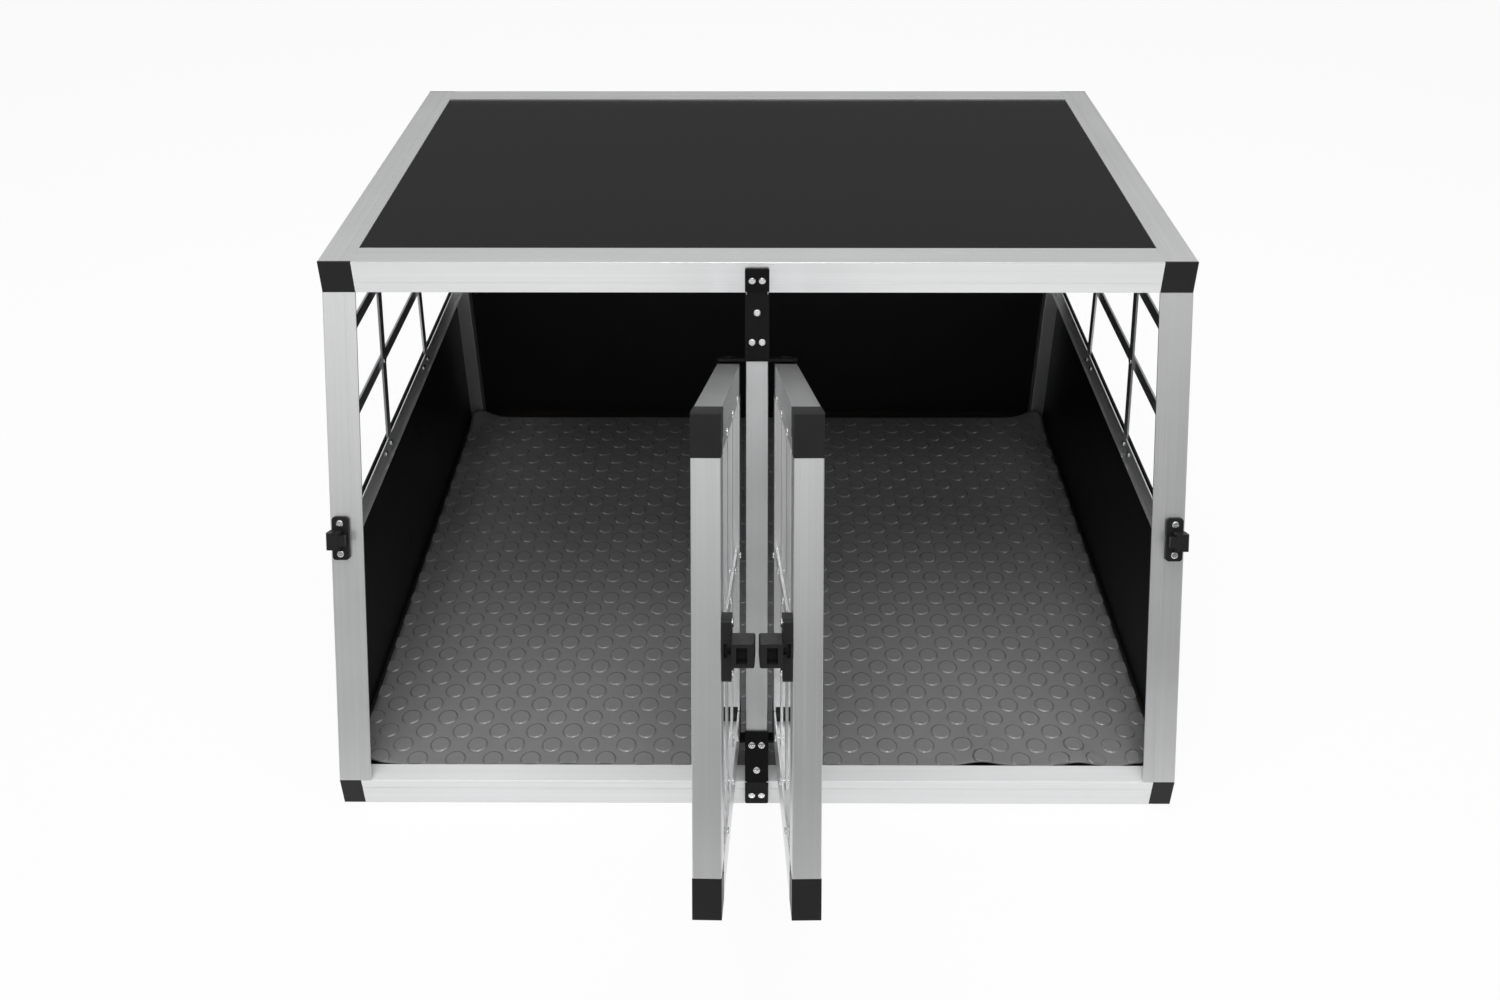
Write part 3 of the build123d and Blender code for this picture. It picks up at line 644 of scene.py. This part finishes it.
@dataclass(frozen=True)
class Grain:
    """Directions in which the aluminium of the box was drawn."""

    slope: Direction
    left_door: Direction
    right_door: Direction
    across: Direction = ACROSS
    depth: Direction = DEPTH
    upright: Direction = UPRIGHT

    @classmethod
    def of_joints(cls, joints: Sequence[Dict[str, Any]]) -> "Grain":
        """Read the slope and the doors' directions from the joints.

        Args:
            joints: The joints of the box.

        Returns:
            All directions.
        """
        axes = {joint["name"]: tuple(joint["axis"]) for joint in joints}
        return cls(axes["left_door_hinge"], axes["left_latch_slide"], axes["right_latch_slide"])


@dataclass
class FrameRails:
    """Outer frame: rails, posts, floor bearer and end caps."""

    shop: FinishShop
    grain: Grain
    centre_tone: Colour = (0.77, 0.775, 0.78)
    sill_metal: float = 0.30
    sill_roughness: float = 0.50

    def worn_sill(self) -> DrawnAluminium:
        """Aluminium that paws have rubbed matt."""
        return DrawnAluminium(
            grain=self.grain.across, metal=self.sill_metal, roughness=self.sill_roughness
        )

    def dress(self) -> None:
        """Draw each rail along its own length and mould the caps."""
        across = ("top_rail_front", "top_rail_back", "bottom_rail_back")
        side_rails = ("top_rail_left", "top_rail_right", "bottom_rail_left", "bottom_rail_right")
        slope = ("front_post_left", "front_post_right")
        upright = ("back_post_left", "back_post_right")
        self.shop.dress(DrawnAluminium(grain=self.grain.across), across)
        self.shop.dress(DrawnAluminium(grain=self.grain.depth), (*side_rails, "floor_bearer"))
        self.shop.dress(DrawnAluminium(grain=self.grain.slope), slope)
        self.shop.dress(DrawnAluminium(self.centre_tone, grain=self.grain.slope), ("centre_post",))
        self.shop.dress(DrawnAluminium(grain=self.grain.upright), upright)
        self.shop.dress(self.worn_sill(), ("door_sill",))
        self.shop.dress(MouldedPlastic(), ("top_end_caps", "bottom_end_caps"))


@dataclass
class Skin:
    """Panels, trim and floor board."""

    shop: FinishShop
    grain: Grain

    def dress(self) -> None:
        """Laminate the panels, draw the trim and film the floor."""
        panels = ("roof_panel", "back_panel", "side_panel_left", "side_panel_right")
        trims = ("panel_trim_left", "panel_trim_right")
        self.shop.dress(BlackLaminate(), panels)
        self.shop.dress(DrawnAluminium(grain=self.grain.depth), trims)
        self.shop.dress(FilmFacedBoard(), ("floor_panel",))


@dataclass
class SideGrilles:
    """Flat bars and rivets of the side windows."""

    shop: FinishShop
    grain: Grain
    bar_tone: Colour = (0.50, 0.51, 0.52)

    def dress(self) -> None:
        """Draw the bars of both sides along their length and plate the rivets."""
        long_bars = DrawnAluminium(self.bar_tone, grain=self.grain.depth)
        uprights = DrawnAluminium(self.bar_tone, grain=self.grain.upright)
        for side in Side:
            hand = side.value
            self.shop.dress(long_bars, (f"side_bars_{hand}",))
            self.shop.dress(uprights, (f"front_upright_{hand}", f"rear_upright_{hand}"))
            self.shop.dress(ZincSteel(), (f"side_rivets_{hand}",))


@dataclass
class HingeGroup:
    """Brackets, pins, screws and keepers on the frame."""

    shop: FinishShop

    def dress(self) -> None:
        """Coat the brackets, mould the keepers and plate the fasteners."""
        self.shop.dress(PowderCoat(), ("upper_hinge_bracket", "lower_hinge_bracket", "hinge_pins"))
        self.shop.dress(ZincSteel(), ("frame_screws",))
        self.shop.dress(MouldedPlastic(), ("keeper_left", "keeper_right"))


@dataclass
class Door:
    """One grille door with its slide latch."""

    shop: FinishShop
    grain: Grain
    side: Side
    tone: Colour = (0.77, 0.775, 0.78)

    def dress(self) -> None:
        """Draw rails and cross bar along the door, stiles and uprights along the slope."""
        hand = self.side.value
        swing = self.grain.left_door if self.side is Side.LEFT else self.grain.right_door
        rails = (f"{hand}_door_top_rail", f"{hand}_door_bottom_rail", f"{hand}_door_cross_bar")
        stiles = (f"{hand}_door_hinge_stile", f"{hand}_door_latch_stile", f"{hand}_door_uprights")
        fittings = (f"{hand}_door_corners", f"{hand}_latch_base", f"{hand}_latch_slider")
        self.shop.dress(DrawnAluminium(self.tone, grain=swing), rails)
        self.shop.dress(DrawnAluminium(self.tone, grain=self.grain.slope), stiles)
        self.shop.dress(MouldedPlastic(), fittings)
        self.shop.dress(ZincSteel(), (f"{hand}_door_rivets",))


@dataclass(frozen=True)
class Ripple:
    """Low bell-shaped wave in the front edge of the mat."""

    middle: float
    height: float
    reach: float


@dataclass(frozen=True)
class Curl:
    """Turned-up corner of the mat: on which hand, at the back or the front, how high and how far."""

    side: Side
    at_back: bool
    height: float
    reach: float


@dataclass
class StuddedMat:
    """Loose rubber mat with round studs in a staggered pattern."""

    shop: FinishShop
    low: Vector
    high: Vector
    rest_gap: float = 0.0001
    sheet: float = 0.0022
    stud_radius: float = 0.0115
    stud_height: float = 0.0014
    # Rings of a stud from its foot to its top, as shares of its radius and of its height.
    stud_shrink: Tuple[float, ...] = (-0.15, 0.0, 0.062, 0.140)
    stud_rise: Tuple[float, ...] = (-0.06, 0.06, 0.66, 1.0)
    # Mark of each band between two rings: painted shade below 0, polished above 0.
    stud_polish_and_shade: Tuple[float, ...] = (-1.0, 1.0, 0.8)
    # Share of the radius by which a stud's middle stays inside the mat's edge.
    stud_room: float = 0.45
    stud_inset: float = 0.0002
    stud_back_inset: float = 0.0008
    pitch: float = 0.0447
    first_row: float = 0.009
    front_inset: float = 0.0006
    front_wave: float = 0.0005
    front_turns: float = 23.0
    front_corner: float = 0.030
    back_corner: float = 0.022
    # Fineness of the meshes: sides of a stud, lines across the sheet and along it.
    sides: int = 18
    columns: int = 150
    rows: int = 70
    edge_rows: int = 14
    ripples: Tuple[Ripple, ...] = (
        Ripple(0.264, 0.0078, 0.024),
        Ripple(0.380, 0.0072, 0.021),
        Ripple(0.447, 0.0068, 0.013),
        Ripple(-0.205, 0.0012, 0.040),
    )
    ripple_fade: float = 0.045
    curls: Tuple[Curl, ...] = (
        Curl(Side.LEFT, False, 0.0100, 0.035),
        Curl(Side.LEFT, True, 0.0190, 0.029),
        Curl(Side.RIGHT, True, 0.0170, 0.032),
    )

    def front(self, x: np.ndarray) -> np.ndarray:
        """Y of the front edge: straight, with a shallow sine wave of half a millimetre."""
        return self.low.y + self.front_inset + self.front_wave * np.sin(x * self.front_turns)

    def half_width(self, y: np.ndarray, front: np.ndarray) -> np.ndarray:
        """Half width at a depth: a quarter circle rounds each corner.

        Args:
            y: Depths.
            front: Depth of the front edge.

        Returns:
            Half widths.
        """
        ahead = np.clip(1.0 - (y - front) / self.front_corner, 0.0, 1.0)
        behind = np.clip(1.0 - (self.high.y - y) / self.back_corner, 0.0, 1.0)
        taken = self.front_corner * (1.0 - np.sqrt(1.0 - ahead**2))
        taken += self.back_corner * (1.0 - np.sqrt(1.0 - behind**2))
        return self.high.x - taken

    def lift(self, x: np.ndarray, y: np.ndarray) -> np.ndarray:
        """Height above the floor: bell curves for the ripples, which fade inward, and for the curls.

        Args:
            x: Places across.
            y: Depths.

        Returns:
            Heights of the underside.
        """
        behind = np.clip(y - self.low.y, 0.0, None)
        fade = np.exp(-((behind / self.ripple_fade) ** 2))
        wave = np.zeros_like(x)
        for ripple in self.ripples:
            wave += ripple.height * np.exp(-(((x - ripple.middle) / ripple.reach) ** 2))
        turned_up = np.zeros_like(x)
        for curl in self.curls:
            corner_x = self.low.x if curl.side is Side.LEFT else self.high.x
            corner_y = self.high.y if curl.at_back else self.low.y
            away = np.hypot(x - corner_x, y - corner_y)
            turned_up += curl.height * np.exp(-((away / curl.reach) ** 2))
        return wave * fade + turned_up

    def sheet_surface(self) -> Tuple[np.ndarray, np.ndarray]:
        """Closed sheet: an upper and a lower grid joined along their borders.

        Returns:
            Points and four-sided faces.
        """
        shallow = np.linspace(0.0, self.front_corner, self.edge_rows, endpoint=False)
        length = self.high.y - self.low.y - self.front_inset
        deep = np.linspace(self.front_corner, length - self.back_corner, self.rows, endpoint=False)
        last = np.linspace(length - self.back_corner, length, self.edge_rows)
        depth = np.concatenate((shallow, deep, last))[:, None]
        across = np.linspace(-1.0, 1.0, self.columns)[None, :]
        front = self.front(across * self.high.x)
        y = np.minimum(front + depth, self.high.y)
        x = across * self.half_width(y, front)
        under = self.low.z + self.rest_gap + self.lift(x, y)
        count = x.size
        upper = np.stack((x, y, under + self.sheet), -1).reshape(-1, 3)
        lower = np.stack((x, y, under), -1).reshape(-1, 3)
        index = np.arange(count).reshape(x.shape)
        quads = np.stack((index[:-1, :-1], index[:-1, 1:], index[1:, 1:], index[1:, :-1]), -1)
        quads = quads.reshape(-1, 4)
        border = np.concatenate((index[0, :], index[1:, -1], index[-1, -2::-1], index[-2:0:-1, 0]))
        after = np.roll(border, -1)
        wall = np.stack((border, border + count, after + count, after), -1)
        return np.concatenate((upper, lower)), np.concatenate((quads, quads[:, ::-1] + count, wall))

    def stud_middles(self) -> np.ndarray:
        """Middles of the studs: a square lattice turned by 45 degrees, cut at the mat's edges.

        Returns:
            Two columns of places.
        """
        half = self.pitch / 2
        columns = math.ceil(self.high.x / half)
        rows = math.ceil((self.high.y - self.low.y) / half)
        column, row = np.meshgrid(np.arange(-columns, columns + 1), np.arange(rows + 1))
        keep = (column + row) % 2 == 0
        x = column[keep] * half
        y = self.low.y + self.first_row + row[keep] * half
        room = self.stud_radius * self.stud_room
        front = self.front(x)
        inside = np.abs(x) < self.half_width(y, front) - room
        inside &= (y < self.high.y - room) & (y > front + room)
        return np.stack((x[inside], y[inside]), -1)

    def studs(self) -> Tuple[np.ndarray, np.ndarray, np.ndarray, np.ndarray]:
        """Studs as stacked rings with flat ends, cut straight at the mat's edges.

        From below, the rings bound a skirt darkened with painted shade that dips into the sheet, a
        polished wall and a bevel.

        Returns:
            Points, rim faces, end faces and the mark of each rim face.
        """
        middles = self.stud_middles()
        radius = self.stud_radius - np.array(self.stud_shrink) * self.stud_radius
        rise = np.array(self.stud_rise) * self.stud_height
        polish_and_shade = np.array(self.stud_polish_and_shade)
        turn = np.linspace(0.0, 2.0 * math.pi, self.sides, endpoint=False)
        x = middles[:, 0, None, None] + radius[None, :, None] * np.cos(turn)[None, None, :]
        y = middles[:, 1, None, None] + radius[None, :, None] * np.sin(turn)[None, None, :]
        front = self.front(x)
        y = np.clip(y, front + self.stud_inset, self.high.y - self.stud_back_inset)
        edge = self.half_width(y, front) - self.stud_inset
        x = np.clip(x, -edge, edge)
        z = self.low.z + self.rest_gap + self.sheet + self.lift(x, y) + rise[None, :, None]
        index = np.arange(x.size).reshape(x.shape)
        ahead = np.roll(index, -1, axis=2)
        rims = np.stack((index[:, :-1], ahead[:, :-1], ahead[:, 1:], index[:, 1:]), -1)
        ends = np.concatenate((index[:, -1, :], index[:, 0, ::-1]))
        marks = np.broadcast_to(polish_and_shade[None, :, None], rims.shape[:-1]).reshape(-1)
        return np.stack((x, y, z), -1).reshape(-1, 3), rims.reshape(-1, 4), ends, marks

    def mesh(self) -> bpy.types.Mesh:
        """Sheet and studs in one mesh, smooth but for the studs' ends, with the rim mark on its faces.

        Returns:
            The mesh, without a material.
        """
        points, quads = self.sheet_surface()
        stud_points, rims, ends, marks = self.studs()
        start, smooth = len(points), len(quads) + len(rims)
        places = np.concatenate((points, stud_points)).astype(np.float32)
        corners = np.concatenate((quads.ravel(), rims.ravel() + start, ends.ravel() + start))
        sizes = np.concatenate((np.full(smooth, 4), np.full(len(ends), self.sides)))
        starts = np.concatenate(((0,), np.cumsum(sizes)[:-1]))
        mesh = bpy.data.meshes.new("studded_mat")
        mesh.vertices.add(len(places))
        mesh.vertices.foreach_set("co", places.ravel())
        mesh.loops.add(len(corners))
        mesh.loops.foreach_set("vertex_index", corners.astype(np.int32))
        mesh.polygons.add(len(sizes))
        mesh.polygons.foreach_set("loop_start", starts.astype(np.int32))
        mesh.polygons.foreach_set("use_smooth", np.arange(len(sizes)) < smooth)
        rim = mesh.attributes.new(StuddedRubber.rim_name, "FLOAT", "FACE")
        values = np.concatenate((np.zeros(len(quads)), marks, np.zeros(len(ends))))
        rim.data.foreach_set("value", values.astype(np.float32))
        mesh.update(calc_edges=True)
        mesh.validate()
        LOG.info("studded_mat: %d points, %d studs", len(places), len(ends) // 2)
        return mesh

    def build(self) -> None:
        """Make the mat and put it in the place of its plain solid."""
        piece = bpy.data.objects.new("studded_mat", self.mesh())
        piece.data.materials.append(self.shop.material(StuddedRubber()))
        bpy.context.scene.collection.objects.link(piece)
        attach(piece, "crate")
        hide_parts("floor_mat")


@dataclass(frozen=True)
class Lamp:
    """One soft lamp of the studio, which reflections show where it is mirrored."""

    name: str
    place: Place
    target: Place
    width: float
    height: float
    power: float
    mirrored: bool = True


@dataclass
class Studio:
    """Pale floor, soft lamps, white surroundings and the camera."""

    floor_reach: float = 9.0
    # Reflections show a bright floor out to the first distance, and none of its glow past the second.
    bright_reach: float = 1.3
    fade_reach: float = 1.6
    floor_drop: float = 0.0006
    floor_tone: Colour = (0.80, 0.80, 0.80)
    floor_lift: float = 0.93
    sky_light: float = 0.20
    horizon_glow: float = 0.05
    zenith_glow: float = 0.80
    zenith_rise: float = 0.8
    sensor_width: float = 36.0
    sight: float = 60.0
    # The camera's lens in pixels of the picture, and its turns in degrees.
    focal_pixels: float = 1300.4
    frame_width: float = 1500.0
    frame_height: float = 1000.0
    axis_row: float = 375.0
    yaw: float = -0.317
    pitch: float = 30.799
    roll: float = 0.101
    stand: Place = (-0.0010, -1.4628, 1.2152)
    lamps: Tuple[Lamp, ...] = (
        Lamp("key", (-0.2, -0.4, 3.9), (0.0, -0.2, 0.2), 2.6, 3.2, 119.0, mirrored=False),
        Lamp("top", (0.2, 0.4, 3.4), (0.0, 0.1, 0.5), 3.2, 3.2, 6.0),
        Lamp("fill", (2.6, -2.2, 1.3), (0.0, -0.1, 0.3), 2.4, 2.4, 8.0, mirrored=False),
        Lamp("front", (0.2, -3.2, 1.5), (0.0, -0.1, 0.2), 2.4, 2.4, 10.0, mirrored=False),
        Lamp("card", (-0.95, -3.4, 1.8), (-0.65, -0.1, 0.3), 4.0, 1.8, 9.4),
        Lamp("spark", (0.1, -2.3, 2.9), (0.0, -0.3, 0.1), 0.8, 0.5, 14.0),
    )

    def floor(self) -> None:
        """Lay a pale plane whose tone is lifted for the camera and keeps its shadows."""
        reach = self.floor_reach
        corners = [(-reach, -reach), (reach, -reach), (reach, reach), (-reach, reach)]
        mesh = bpy.data.meshes.new("studio_floor")
        mesh.from_pydata([(x, y, -self.floor_drop) for x, y in corners], [], [(0, 1, 2, 3)])
        material = bpy.data.materials.new("StudioFloor")
        material.use_nodes = True
        graph = Graph(material.node_tree)
        matt = graph.node("ShaderNodeBsdfDiffuse", inputs={"Color": (*self.floor_tone, 1.0)})
        glow = graph.node("ShaderNodeEmission", inputs={"Color": WHITE, "Strength": 1.0})
        length = {"operation": "LENGTH"}
        distance = graph.node("ShaderNodeVectorMath", length, {0: graph.place()}, "Value")
        near = 1.0 - distance.between(self.bright_reach, self.fade_reach)
        lift = graph.ray("Camera").highest(graph.watched() * near) * self.floor_lift
        mixed = graph.node("ShaderNodeMixShader", inputs={0: lift, 1: matt, 2: glow})
        graph.node("ShaderNodeOutputMaterial", inputs={"Surface": mixed})
        mesh.materials.append(material)
        plane = bpy.data.objects.new("studio_floor", mesh)
        bpy.context.scene.collection.objects.link(plane)

    def surroundings(self) -> None:
        """White for the eye, brighter upward in reflections, and soft as a light."""
        world = bpy.data.worlds.new("Surroundings")
        world.use_nodes = True
        graph = Graph(world.node_tree)
        seen = graph.ray("Camera")
        heading = graph.node("ShaderNodeTexCoord", output="Generated")
        rise = graph.along(heading, UPRIGHT).between(0.0, self.zenith_rise)
        mirrored = rise * (self.zenith_glow - self.horizon_glow) + self.horizon_glow
        shown = mirrored * (1.0 - seen) + seen
        watched = graph.watched()
        strength = shown * watched + (1.0 - watched) * self.sky_light
        light = graph.node("ShaderNodeBackground", inputs={"Color": WHITE, "Strength": strength})
        graph.node("ShaderNodeOutputWorld", inputs={"Surface": light})
        bpy.context.scene.world = world

    def lamp(self, spec: Lamp) -> None:
        """Hang one soft lamp that points at its target.

        Args:
            spec: Place, target, size and power of the lamp.
        """
        light = bpy.data.lights.new(spec.name, "AREA")
        light.shape = "RECTANGLE"
        light.size, light.size_y = spec.width, spec.height
        light.energy = spec.power
        hung = bpy.data.objects.new(spec.name, light)
        hung.location = spec.place
        aim = Vector(spec.target) - Vector(spec.place)
        hung.rotation_euler = aim.to_track_quat("-Z", "Y").to_euler()
        hung.visible_glossy = spec.mirrored
        bpy.context.scene.collection.objects.link(hung)

    def camera(self) -> None:
        """Stand the camera at the photograph's point of view, turned by yaw, then pitch, then roll."""
        yaw, pitch, roll = (math.radians(value) for value in (self.yaw, self.pitch, self.roll))
        ahead = Vector((math.sin(yaw), math.cos(yaw), 0.0))
        look = ahead * math.cos(pitch) - Vector(UPRIGHT) * math.sin(pitch)
        level = Vector((math.cos(yaw), -math.sin(yaw), 0.0))
        sink = look.cross(level)
        right = level * math.cos(roll) + sink * math.sin(roll)
        down = sink * math.cos(roll) - level * math.sin(roll)
        turn = Matrix((right, -down, -look)).transposed()
        lens = bpy.data.cameras.new("camera")
        lens.sensor_fit = "HORIZONTAL"
        lens.sensor_width = self.sensor_width
        lens.lens = self.focal_pixels / self.frame_width * lens.sensor_width
        lens.shift_y = (self.axis_row - self.frame_height / 2) / self.frame_width
        lens.clip_end = self.sight
        stand = bpy.data.objects.new("camera", lens)
        stand.matrix_world = Matrix.Translation(self.stand) @ turn.to_4x4()
        bpy.context.scene.collection.objects.link(stand)
        bpy.context.scene.camera = stand

    def build(self) -> None:
        """Set up the whole studio."""
        self.floor()
        self.surroundings()
        for spec in self.lamps:
            self.lamp(spec)
        self.camera()
        bpy.context.scene.view_settings.view_transform = "Standard"


def main() -> None:
    """Load the box, dress its solids, add the mat and set up the studio."""
    logging.basicConfig(level=logging.INFO, format="%(message)s")
    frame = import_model()
    shop = FinishShop(frame["nodes"])
    grain = Grain.of_joints(frame["joints"])
    FrameRails(shop, grain).dress()
    Skin(shop, grain).dress()
    SideGrilles(shop, grain).dress()
    HingeGroup(shop).dress()
    for side in Side:
        Door(shop, grain, side).dress()
    StuddedMat(shop, *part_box("floor_mat")).build()
    Studio().build()


if __name__ == "__main__":
    main()
